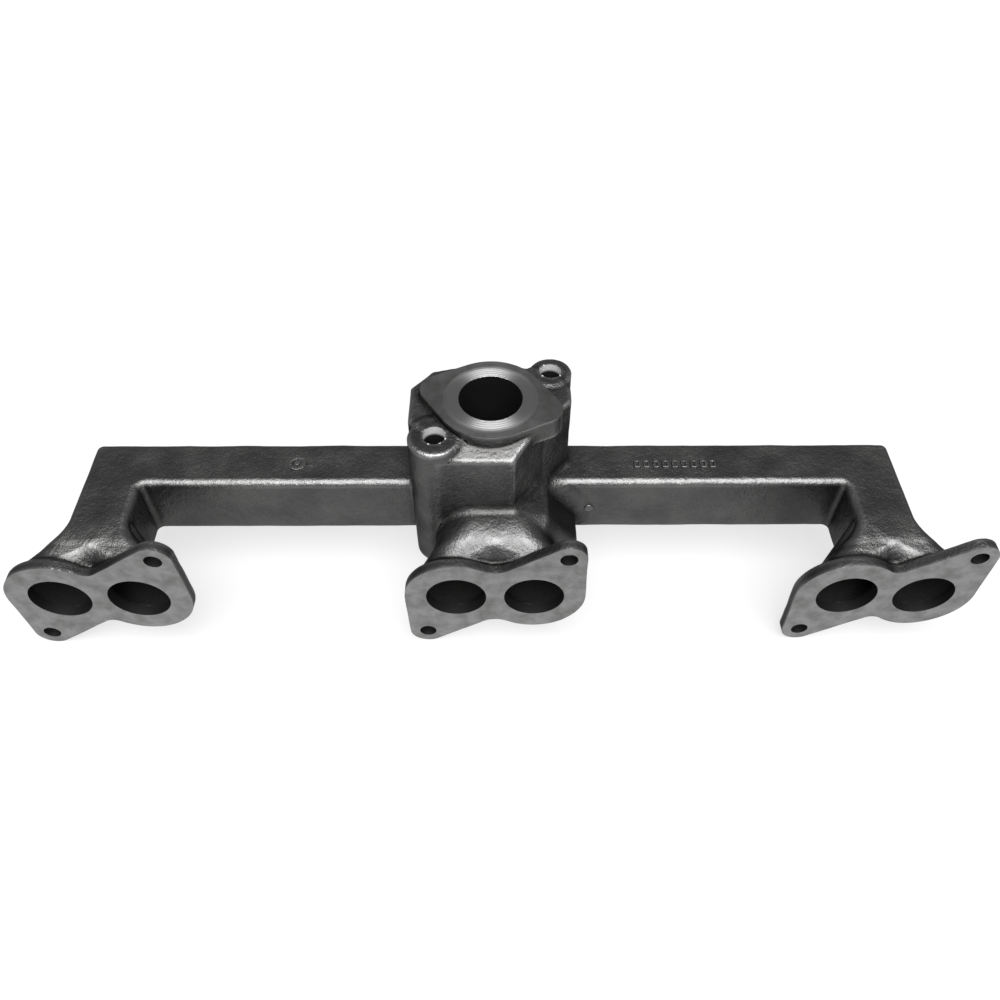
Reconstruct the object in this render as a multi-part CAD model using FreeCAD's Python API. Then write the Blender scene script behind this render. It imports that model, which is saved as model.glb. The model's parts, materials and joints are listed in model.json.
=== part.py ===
import FreeCAD, Part
import math
import os

# Exhaust manifold of an in-line six: one iron casting, divided into its named regions.
# Frame: X runs along the collector, -Y points at the cylinder head, +Z is up.
# Origin: centre of the middle flange's machined face, between its two ports. Millimetres.

Vec = FreeCAD.Vector

# Ports and flanges
FLANGE_PITCH = 228.6
PORT_OFFSET = 22.7
PORT_R = 17.5
FLANGE_T = 7.0
FLANGE_LOBE_R = 30.0
EAR_R = 10.5
EAR_X = 41.0
EAR_Z = 36.0
FLANGE_HOLE_R = 5.0
END_NECK_R = 27.0
MIDDLE_NECK_R = 25.0

# Collector: a rectangular tube with rounded edges
LOG_FRONT_Y = 60.0
LOG_BACK_Y = 93.4
LOG_BOTTOM_Z = -11.0
LOG_TOP_Z = 32.3
LOG_EDGE_R = 4.5
WALL = 5.0
ELBOW_HALF_WIDTH = 17.3
ELBOW_FRONT_Y = 36.0

# Riser, outlet and bolt columns. The riser's plan is measured from its own middle, OUTLET_X.
OUTLET_X = -2.3
OUTLET_Y = 73.0
OUTLET_R = 18.0
PAD_TOP_Z = 89.5
RISER_TOP_Z = 84.0
RISER_HALF_WIDTH = 46.0
RISER_FRONT_Y = 34.2
RISER_BACK_Y = 107.0
FRONT_FLAT_LEFT = 30.8
FRONT_FLAT_RIGHT = 12.5
CHAMFER_END_X = 30.0
CHAMFER_END_Y = 59.0
SIDE_START_Y = 76.0
SIDE_END_Y = 87.7
BACK_ARC_X = 34.0
BACK_ARC_Y = 101.5
SHOULDER_Z = 78.5
SHOULDER_DEPTH = 13.7
BOLTS_MIDDLE_X = -0.3
BOLTS_MIDDLE_Y = 75.0
BOSS_X = 32.8
BOSS_Y = 26.2
FRONT_BOSS_R = 15.0
REAR_BOSS_R = 12.5
BOSS_HOLE_R = 6.3
PAD_R = 31.0
PAD_LOBE_X = 29.0
PAD_LOBE_Y = 8.0
PAD_LOBE_R = 11.0

# Middle branch under the riser: a low arched duct
DUCT_HALF_WIDTH = 34.0
DUCT_TOP_Z = 38.0
DUCT_ARCH_R = 24.0
CHAMBER_HALF_WIDTH = 21.5
CHAMBER_TOP_Z = 32.0
CHAMBER_ARCH_R = 3.5
CHAMBER_BACK_Y = 95.0
INNER_EDGE_R = 3.0

# Web on the right of the middle branch: its outline in X and Z, from the riser's front to the collector
WEB_TOP = (30.0, 33.0)
WEB_SHOULDER_X = 49.0
WEB_SHOULDER_Z = 11.0

# Half side of the boxes that divide the casting: more than any node's reach
REACH = 150.0

# Raised casting marks, left plain
MARK_HEIGHT = 1.0
ROUND_MARK_AT = (-120.0, 76.0)
ROUND_MARK_R = 5.5
STRIP_MARK_AT = (110.0, 75.0)
STRIP_MARK_SIZE = (52.0, 6.5)
PIP_AT = (58.0, 9.0)
PIP_R = 3.0

LOG_BOTTOM_IN = LOG_BOTTOM_Z + WALL
LOG_TOP_IN = LOG_TOP_Z - WALL
TUBE_END_X = FLANGE_PITCH - ELBOW_HALF_WIDTH
RISER_SIDES = (OUTLET_X - RISER_HALF_WIDTH, OUTLET_X + RISER_HALF_WIDTH)


def box(x_range, y_range, z_range):
    """A box from three (low, high) pairs."""
    size = [high - low for low, high in (x_range, y_range, z_range)]
    return Part.makeBox(*size, Vec(x_range[0], y_range[0], z_range[0]))


def cylinder_z(x, y, radius, z_range):
    """An upright cylinder."""
    return Part.makeCylinder(radius, z_range[1] - z_range[0], Vec(x, y, z_range[0]))


def cylinder_y(x, z, radius, y_range):
    """A cylinder along +Y."""
    return Part.makeCylinder(radius, y_range[1] - y_range[0], Vec(x, y_range[0], z), Vec(0, 1, 0))


def arc(centre, radius, start_deg, end_deg, place):
    """An arc in a plane; place turns plane coordinates (u, v) into a point."""
    points = []
    for step in range(3):
        angle = math.radians(start_deg + (end_deg - start_deg) * step / 2)
        points.append(place(centre[0] + radius * math.cos(angle), centre[1] + radius * math.sin(angle)))
    return Part.Arc(*points).toShape()


def rounded_wire(u_range, v_range, radii, place):
    """A rectangle with rounded corners; radii run from the low-u low-v corner, counterclockwise."""
    (u0, u1), (v0, v1) = u_range, v_range
    corners = [(u0, v0, 1, 1, 180), (u1, v0, -1, 1, 270), (u1, v1, -1, -1, 0), (u0, v1, 1, -1, 90)]
    edges = []
    last_end = None
    first_start = None
    for (u, v, su, sv, start), radius in zip(corners, radii):
        centre = (u + su * radius, v + sv * radius)
        corner = arc(centre, radius, start, start + 90, place)
        if last_end is not None:
            edges.append(Part.LineSegment(last_end, corner.firstVertex().Point).toShape())
        else:
            first_start = corner.firstVertex().Point
        edges.append(corner)
        last_end = corner.lastVertex().Point
    edges.append(Part.LineSegment(last_end, first_start).toShape())
    return Part.Wire(edges)


def circle_wire(centre, radius, place):
    """A circle cut into eight arcs, in step with rounded_wire, so that the two loft cleanly."""
    edges = []
    for step in range(8):
        start = 202.5 + 45.0 * step
        edges.append(arc(centre, radius, start, start + 45.0, place))
    return Part.Wire(edges)


def bar_x(x_range, y_range, z_range, radius):
    """A rounded rectangular bar along X."""
    x0, x1 = x_range
    wire = rounded_wire(y_range, z_range, [radius] * 4, lambda u, v: Vec(x0, u, v))
    return Part.Face(wire).extrude(Vec(x1 - x0, 0, 0))


def bar_y(x_range, y_range, z_range, radii):
    """A rounded rectangular bar along Y."""
    y0, y1 = y_range
    wire = rounded_wire(x_range, z_range, radii, lambda u, v: Vec(u, y0, v))
    return Part.Face(wire).extrude(Vec(0, y1 - y0, 0))


def neck_loft(x_range, z_range, radii, y_back, port_x, port_r):
    """A duct that changes from a rounded rectangle at y_back to a circle at the flange's back."""
    back = rounded_wire(x_range, z_range, radii, lambda u, v: Vec(u, y_back, v))
    front = circle_wire((port_x, 0.0), port_r, lambda u, v: Vec(u, FLANGE_T, v))
    return Part.makeLoft([back, front], True, True)


def drop_outline(big, big_r, small, small_r, place):
    """A face shaped like a drop: a big circle and a small one, joined by their outer tangents."""
    reach = math.hypot(small[0] - big[0], small[1] - big[1])
    heading = math.degrees(math.atan2(small[1] - big[1], small[0] - big[0]))
    spread = math.degrees(math.acos((big_r - small_r) / reach))
    big_arc = arc(big, big_r, heading + spread, heading + 360 - spread, place)
    small_arc = arc(small, small_r, heading - spread, heading + spread, place)
    edges = [
        big_arc,
        Part.LineSegment(big_arc.lastVertex().Point, small_arc.firstVertex().Point).toShape(),
        small_arc,
        Part.LineSegment(small_arc.lastVertex().Point, big_arc.firstVertex().Point).toShape(),
    ]
    return Part.Face(Part.Wire(edges))


def port_flange(centre_x):
    """A twin-port flange: two drops, each holding one port and one bolt ear."""
    blank = None
    for side in (-1, 1):
        port = (side * PORT_OFFSET, 0)
        ear = (side * EAR_X, side * EAR_Z)
        drop = drop_outline(port, FLANGE_LOBE_R, ear, EAR_R, lambda u, v: Vec(u, 0, v))
        solid = drop.extrude(Vec(0, FLANGE_T, 0))
        blank = solid if blank is None else blank.fuse(solid)
    blank = blank.removeSplitter()
    for side in (-1, 1):
        blank = blank.cut(cylinder_y(side * PORT_OFFSET, 0, PORT_R, (0, FLANGE_T)))
        blank = blank.cut(cylinder_y(side * EAR_X, side * EAR_Z, FLANGE_HOLE_R, (0, FLANGE_T)))
    blank.translate(Vec(centre_x, 0, 0))
    return blank


def neck_pair(centre_x, outer, inner, y_back, neck_r):
    """Both necks behind one flange. outer and inner are (half width, z range, corner radii)."""

    def both(half_width, z_range, radii, port_r):
        x_range = (centre_x - half_width, centre_x + half_width)
        lofts = []
        for side in (-1, 1):
            port_x = centre_x + side * PORT_OFFSET
            lofts.append(neck_loft(x_range, z_range, radii, y_back, port_x, port_r))
        return lofts[0].fuse(lofts[1])

    casting = both(*outer, neck_r).cut(both(*inner, PORT_R))
    wide = (-REACH, REACH)
    left = casting.common(box((centre_x - REACH, centre_x), wide, wide))
    right = casting.common(box((centre_x, centre_x + REACH), wide, wide))
    return left, right


def end_elbow(side):
    """The collector's square elbow: a closed corner, then a straight duct towards the flange."""
    inner_x = FLANGE_PITCH - ELBOW_HALF_WIDTH
    outer_x = FLANGE_PITCH + ELBOW_HALF_WIDTH
    z_range = (LOG_BOTTOM_Z, LOG_TOP_Z)
    corner = box((inner_x, outer_x), (LOG_FRONT_Y, LOG_BACK_Y), z_range)
    rounded = []
    for edge in corner.Edges:
        at = edge.CenterOfMass
        along_outer = at.x > outer_x - 0.1 and at.y > LOG_FRONT_Y + 0.1
        along_back = at.y > LOG_BACK_Y - 0.1 and at.x > inner_x + 0.1
        if along_outer or along_back:
            rounded.append(edge)
    corner = corner.makeFillet(LOG_EDGE_R, rounded)
    duct = bar_y((inner_x, outer_x), (ELBOW_FRONT_Y, LOG_FRONT_Y), z_range, [LOG_EDGE_R] * 4)
    elbow = corner.fuse(duct)
    in_z = (LOG_BOTTOM_IN, LOG_TOP_IN)
    in_x = (inner_x + WALL, outer_x - WALL)
    passage = bar_y(in_x, (ELBOW_FRONT_Y, LOG_BACK_Y - WALL), in_z, [INNER_EDGE_R] * 4)
    mouth = bar_x((inner_x, outer_x - WALL), (LOG_FRONT_Y + WALL, LOG_BACK_Y - WALL), in_z, INNER_EDGE_R)
    elbow = elbow.cut(passage.fuse(mouth))
    if side < 0:
        elbow = elbow.mirror(Vec(0, 0, 0), Vec(1, 0, 0))
    return elbow


def log_tube(side):
    """Half of the collector, from the riser's side wall to the elbow."""
    x_range = (RISER_SIDES[1], TUBE_END_X) if side > 0 else (-TUBE_END_X, RISER_SIDES[0])
    outer = bar_x(x_range, (LOG_FRONT_Y, LOG_BACK_Y), (LOG_BOTTOM_Z, LOG_TOP_Z), LOG_EDGE_R)
    y_range = (LOG_FRONT_Y + WALL, LOG_BACK_Y - WALL)
    inner = bar_x(x_range, y_range, (LOG_BOTTOM_IN, LOG_TOP_IN), INNER_EDGE_R)
    return outer.cut(inner)


def boss_centre(side):
    """Where a bolt boss stands."""
    return BOLTS_MIDDLE_X + side * BOSS_X, BOLTS_MIDDLE_Y + side * BOSS_Y


def bolt_column(side):
    """A round bolt boss down the riser's full height. side -1 is the front left one."""
    x, y = boss_centre(side)
    radius = FRONT_BOSS_R if side < 0 else REAR_BOSS_R
    return cylinder_z(x, y, radius, (LOG_BOTTOM_Z, RISER_TOP_Z))


def riser_outline():
    """The riser's plan: flat front, chamfered right front, straight sides and a round back."""
    boss_x, boss_y = boss_centre(-1)
    points = [
        (boss_x - OUTLET_X, boss_y),
        (-FRONT_FLAT_LEFT, RISER_FRONT_Y),
        (FRONT_FLAT_RIGHT, RISER_FRONT_Y),
        (CHAMFER_END_X, CHAMFER_END_Y),
        (RISER_HALF_WIDTH, SIDE_START_Y),
        (RISER_HALF_WIDTH, SIDE_END_Y),
        (BACK_ARC_X, BACK_ARC_Y),
        (-BACK_ARC_X, BACK_ARC_Y),
        (-RISER_HALF_WIDTH, SIDE_END_Y),
        (-RISER_HALF_WIDTH, LOG_FRONT_Y),
        (boss_x - OUTLET_X, boss_y),
    ]
    back = Vec(0, RISER_BACK_Y, 0)
    edges = []
    for start, end in zip(points, points[1:]):
        if start == (BACK_ARC_X, BACK_ARC_Y):
            edges.append(Part.Arc(Vec(*start, 0), back, Vec(*end, 0)).toShape())
        else:
            edges.append(Part.LineSegment(Vec(*start, 0), Vec(*end, 0)).toShape())
    outline = Part.Face(Part.Wire(edges))
    outline.translate(Vec(OUTLET_X, 0, 0))
    return outline


def web():
    """The solid web that stiffens the middle branch on its right."""
    corners = [
        (0.0, LOG_BOTTOM_Z),
        (WEB_SHOULDER_X, LOG_BOTTOM_Z),
        (WEB_SHOULDER_X, WEB_SHOULDER_Z),
        WEB_TOP,
        (0.0, WEB_TOP[1]),
    ]
    points = [Vec(x, RISER_FRONT_Y, z) for x, z in corners]
    face = Part.Face(Part.makePolygon(points + points[:1]))
    return face.extrude(Vec(0, LOG_FRONT_Y - RISER_FRONT_Y, 0))


def shoulder_cut():
    """The wedge that slopes the riser's top down to its front face."""
    low = Vec(-RISER_HALF_WIDTH - 10, RISER_FRONT_Y, SHOULDER_Z)
    high = Vec(low.x, RISER_FRONT_Y + SHOULDER_DEPTH, RISER_TOP_Z)
    top = Vec(low.x, RISER_FRONT_Y, RISER_TOP_Z)
    face = Part.Face(Part.makePolygon([low, high, top, low]))
    return face.extrude(Vec(2 * RISER_HALF_WIDTH + 20, 0, 0))


def gas_chamber():
    """The hollow under the outlet: the middle branch's duct, the collector crossing it, the bore."""
    arch = [INNER_EDGE_R, INNER_EDGE_R, CHAMBER_ARCH_R, CHAMBER_ARCH_R]
    x_range = (-CHAMBER_HALF_WIDTH, CHAMBER_HALF_WIDTH)
    z_range = (LOG_BOTTOM_IN, CHAMBER_TOP_Z)
    duct = bar_y(x_range, (RISER_FRONT_Y, CHAMBER_BACK_Y), z_range, arch)
    y_range = (LOG_FRONT_Y + WALL, LOG_BACK_Y - WALL)
    crossing = bar_x(RISER_SIDES, y_range, (LOG_BOTTOM_IN, LOG_TOP_IN), INNER_EDGE_R)
    bore = cylinder_z(OUTLET_X, OUTLET_Y, OUTLET_R, (CHAMBER_TOP_Z, PAD_TOP_Z))
    return duct.fuse([crossing, bore])


def riser(columns):
    """The upright centre block, without the two bolt columns that stand in it.

    It is returned as the tower above the middle duct's roof, the base round the collector, and the
    duct in front of the base.
    """
    height = RISER_TOP_Z - LOG_BOTTOM_Z
    block = riser_outline().extrude(Vec(0, 0, height))
    block.translate(Vec(0, 0, LOG_BOTTOM_Z))
    block = block.cut(shoulder_cut())
    arch = [LOG_EDGE_R, LOG_EDGE_R, DUCT_ARCH_R, DUCT_ARCH_R]
    x_range = (-DUCT_HALF_WIDTH, DUCT_HALF_WIDTH)
    duct = bar_y(x_range, (RISER_FRONT_Y, LOG_FRONT_Y), (LOG_BOTTOM_Z, DUCT_TOP_Z), arch)
    crossing = bar_x(RISER_SIDES, (LOG_FRONT_Y, LOG_BACK_Y), (LOG_BOTTOM_Z, LOG_TOP_Z), LOG_EDGE_R)
    block = block.fuse([duct, web(), crossing]).removeSplitter().cut(columns).cut(gas_chamber())
    wide = (-REACH, REACH)
    tower = block.common(box(wide, wide, (DUCT_TOP_Z, REACH)))
    base = block.common(box(wide, (LOG_FRONT_Y, REACH), (-REACH, DUCT_TOP_Z)))
    front = block.common(box(wide, (0, LOG_FRONT_Y), (-REACH, DUCT_TOP_Z)))
    *corners, duct_front = sorted(front.Solids, key=lambda solid: solid.Volume)
    return tower, base.fuse(corners).removeSplitter(), duct_front


def outlet_pad():
    """The raised machined pad: a disc with a lobe on each side, flat towards the two bolts."""
    pad = None
    for side in (-1, 1):
        lobe = (side * PAD_LOBE_X, -side * PAD_LOBE_Y)
        drop = drop_outline((0, 0), PAD_R, lobe, PAD_LOBE_R, lambda u, v: Vec(u, v, 0))
        solid = drop.extrude(Vec(0, 0, PAD_TOP_Z - RISER_TOP_Z))
        pad = solid if pad is None else pad.fuse(solid)
    pad = pad.removeSplitter()
    pad.translate(Vec(OUTLET_X, OUTLET_Y, RISER_TOP_Z))
    return pad.cut(cylinder_z(OUTLET_X, OUTLET_Y, OUTLET_R, (RISER_TOP_Z, PAD_TOP_Z)))


def casting_marks():
    """Three small raised marks, without lettering: a round pad, a long strip and a pip."""
    top = (LOG_TOP_Z, LOG_TOP_Z + MARK_HEIGHT)
    x, y = ROUND_MARK_AT
    round_mark = cylinder_z(x, y, ROUND_MARK_R, top)
    x, y = STRIP_MARK_AT
    length, width = STRIP_MARK_SIZE
    x_range = (x - length / 2, x + length / 2)
    y_range = (y - width / 2, y + width / 2)
    strip = box(x_range, y_range, top)
    x, z = PIP_AT
    pip = cylinder_y(x, z, PIP_R, (LOG_FRONT_Y - MARK_HEIGHT, LOG_FRONT_Y))
    return round_mark, strip, pip


def build():
    """Every node's name and solid."""
    nodes = {
        "log_left_tube": log_tube(-1),
        "log_right_tube": log_tube(1),
        "left_elbow": end_elbow(-1),
        "right_elbow": end_elbow(1),
    }
    flanges = (("left", -FLANGE_PITCH), ("centre", 0.0), ("right", FLANGE_PITCH))
    log_z = (LOG_BOTTOM_Z, LOG_TOP_Z)
    log_z_in = (LOG_BOTTOM_IN, LOG_TOP_IN)
    end_outer = (ELBOW_HALF_WIDTH, log_z, [LOG_EDGE_R] * 4)
    end_inner = (ELBOW_HALF_WIDTH - WALL, log_z_in, [INNER_EDGE_R] * 4)
    duct_radii = [LOG_EDGE_R, LOG_EDGE_R, DUCT_ARCH_R, DUCT_ARCH_R]
    chamber_radii = [INNER_EDGE_R, INNER_EDGE_R, CHAMBER_ARCH_R, CHAMBER_ARCH_R]
    mid_outer = (DUCT_HALF_WIDTH, (LOG_BOTTOM_Z, DUCT_TOP_Z), duct_radii)
    mid_inner = (CHAMBER_HALF_WIDTH, (LOG_BOTTOM_IN, CHAMBER_TOP_Z), chamber_radii)
    for order, (name, centre_x) in enumerate(flanges):
        nodes[name + "_port_flange"] = port_flange(centre_x)
        if name == "centre":
            necks = neck_pair(centre_x, mid_outer, mid_inner, RISER_FRONT_Y, MIDDLE_NECK_R)
        else:
            necks = neck_pair(centre_x, end_outer, end_inner, ELBOW_FRONT_Y, END_NECK_R)
        for half, neck in enumerate(necks):
            nodes["port_neck_%d" % (2 * order + half + 1)] = neck

    columns = [bolt_column(-1), bolt_column(1)]
    nodes.update(zip(("riser_tower", "riser_base", "middle_duct"), riser(columns)))
    for name, side, column in zip(("front", "rear"), (-1, 1), columns):
        hole = cylinder_z(*boss_centre(side), BOSS_HOLE_R, (LOG_BOTTOM_Z, RISER_TOP_Z))
        nodes[name + "_bolt_column"] = column.cut(hole)
    nodes["outlet_pad"] = outlet_pad()
    names = ("left_mark_pad", "right_mark_strip", "front_mark_pip")
    nodes.update(zip(names, casting_marks()))
    return nodes


def main():
    os.makedirs("parts", exist_ok=True)
    for name, shape in build().items():
        solids = shape.Solids
        if len(solids) != 1 or not shape.isValid():
            print("CHECK", name, len(solids), shape.isValid())
        solids[0].exportStep("parts/" + name + ".step")
        size = shape.BoundBox
        print(name, round(shape.Volume), [round(v, 1) for v in (size.XMin, size.XMax, size.YMin,
              size.YMax, size.ZMin, size.ZMax)])


main()
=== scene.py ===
import json
import math

import bpy
from mathutils import Euler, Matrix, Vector
import numpy as np


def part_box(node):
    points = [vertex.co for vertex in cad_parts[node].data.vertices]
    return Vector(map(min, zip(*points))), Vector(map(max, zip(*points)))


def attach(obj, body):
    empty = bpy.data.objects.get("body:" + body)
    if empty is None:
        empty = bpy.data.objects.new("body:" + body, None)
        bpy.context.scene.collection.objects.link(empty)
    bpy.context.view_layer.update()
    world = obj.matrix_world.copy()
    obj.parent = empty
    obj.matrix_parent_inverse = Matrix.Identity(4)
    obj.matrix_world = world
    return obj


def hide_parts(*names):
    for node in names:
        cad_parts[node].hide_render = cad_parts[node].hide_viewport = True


# Exhaust manifold: one iron casting with machined faces.
# Shapes are worked out in millimetres as distance fields, negative inside the iron, and meshed by
# dual contouring, so that cast corners are filleted and machined edges stay sharp.

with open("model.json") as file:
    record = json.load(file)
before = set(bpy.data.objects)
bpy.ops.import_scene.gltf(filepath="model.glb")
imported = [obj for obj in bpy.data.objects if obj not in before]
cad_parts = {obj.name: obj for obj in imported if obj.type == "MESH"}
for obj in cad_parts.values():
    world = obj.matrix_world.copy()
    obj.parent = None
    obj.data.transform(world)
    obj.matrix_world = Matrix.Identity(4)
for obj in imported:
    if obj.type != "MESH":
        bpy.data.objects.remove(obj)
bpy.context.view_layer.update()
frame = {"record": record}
MM = 0.001


# ---------------------------------------------------------------- places taken from the frame

def node_box(node):
    """A node's lowest and highest corners in millimetres."""
    low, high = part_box(node)
    return np.array(low) / MM, np.array(high) / MM


MOUNTS = {mount["name"]: mount for mount in frame["record"]["mounts"]}


def mount_at(name):
    """A mount's position in millimetres."""
    return np.array(MOUNTS[name]["pos_m"]) / MM


LOG_LOW, LOG_HIGH = node_box("log_right_tube")
ELBOW_LOW, ELBOW_HIGH = node_box("right_elbow")
FLANGE_HIGH = node_box("centre_port_flange")[1]
TOWER_LOW, TOWER_HIGH = node_box("riser_tower")
DUCT_LOW, DUCT_HIGH = node_box("middle_duct")
PAD_LOW, PAD_HIGH = node_box("outlet_pad")
OUTLET = mount_at("outlet_bore")
BOLTS = mount_at("outlet_bolts")
FLANGE_X = [mount_at(side + "_port_face")[0] for side in ("left", "centre", "right")]
PORT_OFFSET = mount_at("port_bore_4")[0]
PORT_R = MOUNTS["port_bore_4"]["dims"]["r_mm"]
OUTLET_R = MOUNTS["outlet_bore"]["dims"]["r_mm"]
FLANGE_HOLE_R = MOUNTS["centre_flange_bolts"]["dims"]["hole_r_mm"]
BOSS_HOLE_R = MOUNTS["outlet_bolts"]["dims"]["hole_r_mm"]

# ---------------------------------------------------------------- shape sizes, in millimetres

# The collector. Its plan runs on past its legs, which are then cut square. The end necks run on inside the
# legs, and stop short of the tube.
WALL = 5.0
EDGE_R = 4.5
INNER_EDGE_R = 3.0
END_CORNER_R = 4.5
BAY_CORNER_R = 3.5
LEG_OVERRUN = 20.0
NECK_STOP = 5.0

# How much a corner's radius changes on the inside, as a share of the wall.
OUTER_CORNER_LOSS = 0.9
BAY_CORNER_GAIN = 0.4

# The flanges. Each ear's hole is on the bolt circle, and its round end reaches the flange's full height.
EAR_R = 10.5
EAR_Z = FLANGE_HIGH[2] - EAR_R
EAR_X = math.sqrt((MOUNTS["centre_flange_bolts"]["dims"]["pcd_mm"] / 2) ** 2 - EAR_Z ** 2)
LOBE_R = FLANGE_HIGH[0] - PORT_OFFSET
NOTCH_R = 7.0
FLANGE_EDGE_R = 1.5
HOLE_OVERRUN = 6.0

# The necks. Valleys are how deep the iron dips between two ports at the flange, and they start at a share
# of the way there. A lateness above 1 keeps a duct's own section for longer.
END_NECK_R = 28.0
END_VALLEY = 9.0
END_LATENESS = 2.0
MIDDLE_NECK_R = 27.0
MIDDLE_VALLEY = 4.0
MIDDLE_LATENESS = 2.4
VALLEY_START = 0.3
NECK_FILLET_R = 4.0
NECK_ROOT_R = 3.0
LEAST_FILLET_R = 0.01

# The middle duct, whose underside is a little below its node's, and the web on its right. The web's outline
# is in X and Z, counterclockwise, and it runs on past the duct's front and into the collector.
DUCT_HALF = 34.0
DUCT_DROP = 4.0
DUCT_ARCH_R = 24.0
DUCT_FOOT_R = 5.0
DUCT_OVERLAP = 12.0
WEB_PLAN = (
    (10.0, LOG_LOW[2]), (DUCT_HIGH[0], LOG_LOW[2]), (DUCT_HIGH[0], 11.0), (30.0, 33.0), (10.0, 33.0),
)
WEB_CORNER_R = 5.0
WEB_FRONT_R = 9.0
WEB_OVERLAP = 8.0

# The gas chamber under the outlet.
CHAMBER_HALF = 21.5
CHAMBER_TOP = 32.0
CHAMBER_BACK_Y = 95.0
CHAMBER_BACK_R = 8.0
CHAMBER_ARCH_R = 3.5
BORE_OVERLAP = 5.0

# The bolt bosses: radii by side, front left and rear right, and how far they are from their middle.
BOSS_R = {-1: 15.0, 1: 12.5}
BOSS_OFFSET = (32.8, 26.2)
BOSS_TOP_R = 2.2

# The riser's plan, counterclockwise from its front left, with X measured from the outlet. Its last point
# is the front boss's centre.
RISER_HALF = TOWER_HIGH[0] - OUTLET[0]
RISER_FRONT = TOWER_LOW[1]
FRONT_LEFT_X = -30.8
FRONT_RIGHT_X = 12.5
CHAMFER_END = (30.0, 59.0)
SIDE_START_Y = {-1: 60.0, 1: 76.0}
SIDE_END_Y = 87.7
BACK_CORNER = (34.0, 101.5)
BACK_CURVE = (18.0, 105.6)
RISER_PLAN = (
    (FRONT_LEFT_X, RISER_FRONT), (FRONT_RIGHT_X, RISER_FRONT), CHAMFER_END,
    (RISER_HALF, SIDE_START_Y[1]), (RISER_HALF, SIDE_END_Y), BACK_CORNER, BACK_CURVE,
    (0.0, TOWER_HIGH[1]), (-BACK_CURVE[0], BACK_CURVE[1]), (-BACK_CORNER[0], BACK_CORNER[1]),
    (-RISER_HALF, SIDE_END_Y), (-RISER_HALF, SIDE_START_Y[-1]),
    (FRONT_LEFT_X, BOLTS[1] - BOSS_OFFSET[1]),
)
RISER_EDGE_R = 3.0
RISER_TOP_R = 2.0
SHOULDER_LOW_Z = 78.5
SHOULDER_BACK_Y = 47.9

# The outlet pad, with its right lobe's place from the outlet.
PAD_R = 31.0
PAD_LOBE = (29.0, -8.0)
PAD_LOBE_R = 11.0
PAD_ROOT = 8.0

# Concave fillets between the regions. The body's, duct's and columns' fade out at the flat underside, and
# the duct's grows towards the collector.
BODY_FILLET_R = 4.0
DUCT_FILLET_R = 4.5
DUCT_FILLET_GROWTH = 5.0
DUCT_FILLET_SPAN = (42.0, 57.0)
WEB_FILLET_R = 5.0
COLUMN_FILLET_R = 3.0
PAD_FILLET_R = 1.2
FADE_HEIGHT = 9.0
FADE_LEAST = 0.02

# The marks. A block's outline and its hollow's are each margins along and across, and a corner radius.
MARK_EDGE_R = 0.3
RING_HALF_LINE = 1.2
DOT_R = 1.6
PIP_EDGE_R = 0.6
STRIP_BLOCKS = 9
BLOCK_OUTLINE = (0.9, 0.2, 1.0)
BLOCK_HOLLOW = (2.1, 1.7, 0.5)
MARK_WEAR = 0.12

# The meshing grids' steps for the casting and its marks.
STEP = 1.25
MARK_STEP = 0.4


# ---------------------------------------------------------------- distance fields

def fillet_union(a, b, radius):
    """Joins two fields with a concave fillet of the given radius."""
    near = np.hypot(np.maximum(radius - a, 0), np.maximum(radius - b, 0))
    return np.maximum(radius, np.minimum(a, b)) - near


def round_intersection(a, b, radius):
    """What two fields share, with the convex edge between them rounded."""
    near = np.hypot(np.maximum(radius + a, 0), np.maximum(radius + b, 0))
    return np.minimum(-radius, np.maximum(a, b)) + near


def ramp(value, start, end):
    """A smooth rise from 0 at start to 1 at end."""
    t = np.clip((value - start) / (end - start), 0, 1)
    return t * t * (3 - 2 * t)


def round_rect(u, v, half_u, half_v, radius):
    """A rectangle about the origin with rounded corners."""
    edge_u = np.abs(u) - half_u + radius
    edge_v = np.abs(v) - half_v + radius
    outside = np.hypot(np.maximum(edge_u, 0), np.maximum(edge_v, 0))
    return outside + np.minimum(np.maximum(edge_u, edge_v), 0) - radius


def drop(u, v, big, big_r, small, small_r):
    """A big circle and a small one, joined by their outer tangents."""
    reach = math.hypot(small[0] - big[0], small[1] - big[1])
    along_u, along_v = (small[0] - big[0]) / reach, (small[1] - big[1]) / reach
    lean = (big_r - small_r) / reach
    slope = math.sqrt(1 - lean * lean)
    along = (u - big[0]) * along_u + (v - big[1]) * along_v
    across = np.abs((v - big[1]) * along_u - (u - big[0]) * along_v)
    side = slope * along - lean * across
    on_big = np.hypot(across, along) - big_r
    on_small = np.hypot(across, along - reach) - small_r
    on_side = across * slope + along * lean - big_r
    return np.where(side < 0, on_big, np.where(side > slope * reach, on_small, on_side))


def inset_polygon(points, inset):
    """A counterclockwise polygon with its sides moved inwards."""
    moved = []
    for before, here, after in zip(points[-1:] + points[:-1], points, points[1:] + points[:1]):
        normals = []
        for start, end in ((before, here), (here, after)):
            run = math.hypot(end[0] - start[0], end[1] - start[1])
            normals.append(((end[1] - start[1]) / run, (start[0] - end[0]) / run))
        (ax, ay), (bx, by) = normals
        scale = inset / (1 + ax * bx + ay * by)
        moved.append((here[0] - (ax + bx) * scale, here[1] - (ay + by) * scale))
    return moved


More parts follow.
